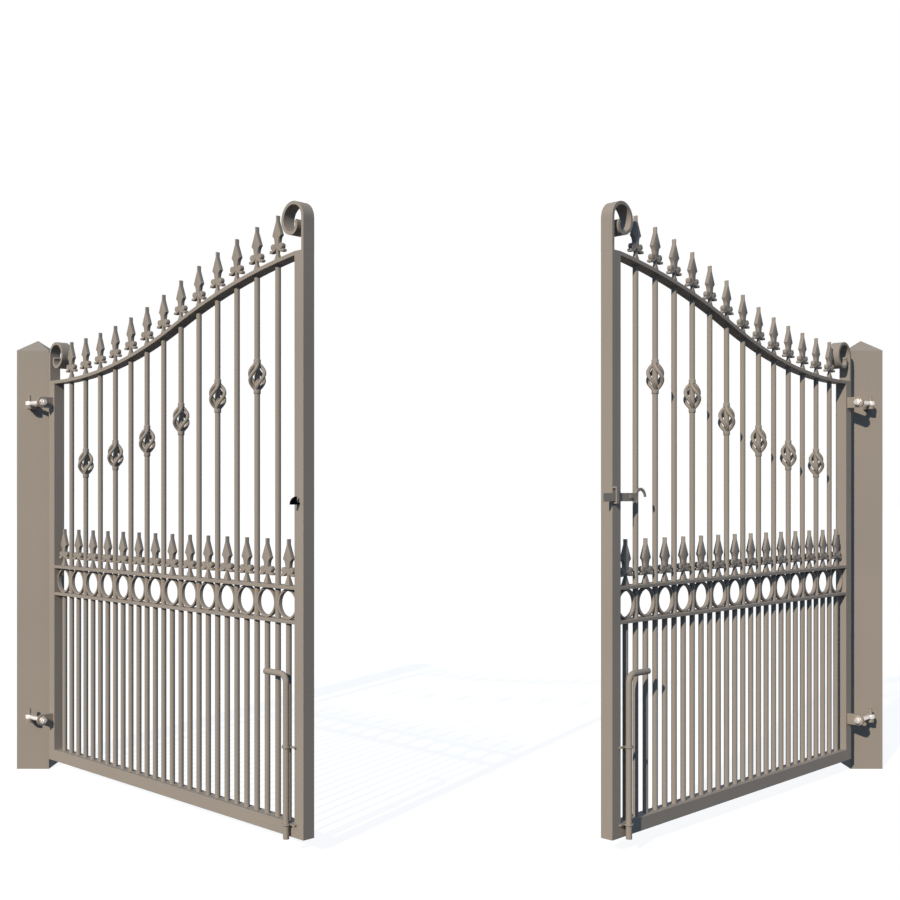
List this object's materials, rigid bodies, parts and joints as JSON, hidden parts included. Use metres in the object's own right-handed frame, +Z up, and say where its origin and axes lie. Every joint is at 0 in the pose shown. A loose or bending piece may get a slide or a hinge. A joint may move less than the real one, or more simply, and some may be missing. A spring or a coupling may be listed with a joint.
{
  "type": "wrought iron driveway gate",
  "caption": "Pair of swan neck wrought iron driveway gate leaves with spear railheads, twisted baskets and a ring band, hung on square posts with eye bolt hinges, drop bolts and a latch.",
  "frame": {"origin": "middle of the left post's foot, at ground level", "axes": "+X along the drive opening to the right post, +Y away from the side that the leaves open to, +Z up"},
  "size_m": [3.227, 1.2599, 1.861],
  "materials": {
    "paint": "matte",
    "cast": "matte",
    "zinc": "satin",
    "black": "matte"
  },
  "bodies": {
    "posts": {"left_post": "paint", "right_post": "paint", "left_hooks": "paint", "right_hooks": "paint"},
    "left_leaf": {"left_hinge_stile": "paint", "left_lock_stile": "paint", "left_scrolls": "paint", "left_top_rail": "paint", "left_mid_rails": "paint", "left_bottom_rail": "paint", "left_long_bars": "paint", "left_dog_bars": "paint", "left_rings": "paint", "left_top_heads": "cast", "left_dog_heads": "cast", "left_baskets": "paint", "left_tabs": "paint", "left_eye_bolts": "zinc", "left_guides": "paint", "left_keep": "black"},
    "right_leaf": {"right_hinge_stile": "paint", "right_lock_stile": "paint", "right_scrolls": "paint", "right_top_rail": "paint", "right_mid_rails": "paint", "right_bottom_rail": "paint", "right_long_bars": "paint", "right_dog_bars": "paint", "right_rings": "paint", "right_top_heads": "cast", "right_dog_heads": "cast", "right_baskets": "paint", "right_tabs": "paint", "right_eye_bolts": "zinc", "right_guides": "paint", "right_latch_mount": "paint"},
    "left_bolt": {"left_drop_bolt": "paint"},
    "right_bolt": {"right_drop_bolt": "paint"},
    "latch": {"latch_bar": "paint"}
  },
  "joints": [
    {"name": "left_leaf_hinge", "type": "hinge", "parent": "posts", "child": "left_leaf", "pos_m": [0, -0.1, 0.203], "axis": [0, 0, -1], "range_deg": [-45, 45]},
    {"name": "right_leaf_hinge", "type": "hinge", "parent": "posts", "child": "right_leaf", "pos_m": [3.107, -0.1, 0.203], "axis": [0, 0, 1], "range_deg": [-45, 45]},
    {"name": "left_bolt_slide", "type": "slide", "parent": "left_leaf", "child": "left_bolt", "axis": [0, 0, 1], "range_m": [-0.09, 0.03]},
    {"name": "right_bolt_slide", "type": "slide", "parent": "right_leaf", "child": "right_bolt", "axis": [0, 0, 1], "range_m": [-0.09, 0.03]},
    {"name": "latch_pivot", "type": "hinge", "parent": "right_leaf", "child": "latch", "pos_m": [2.04669, -1.10798, 1.018], "axis": [-0.7071, 0.7071, 0], "range_deg": [0, 8]}
  ]
}
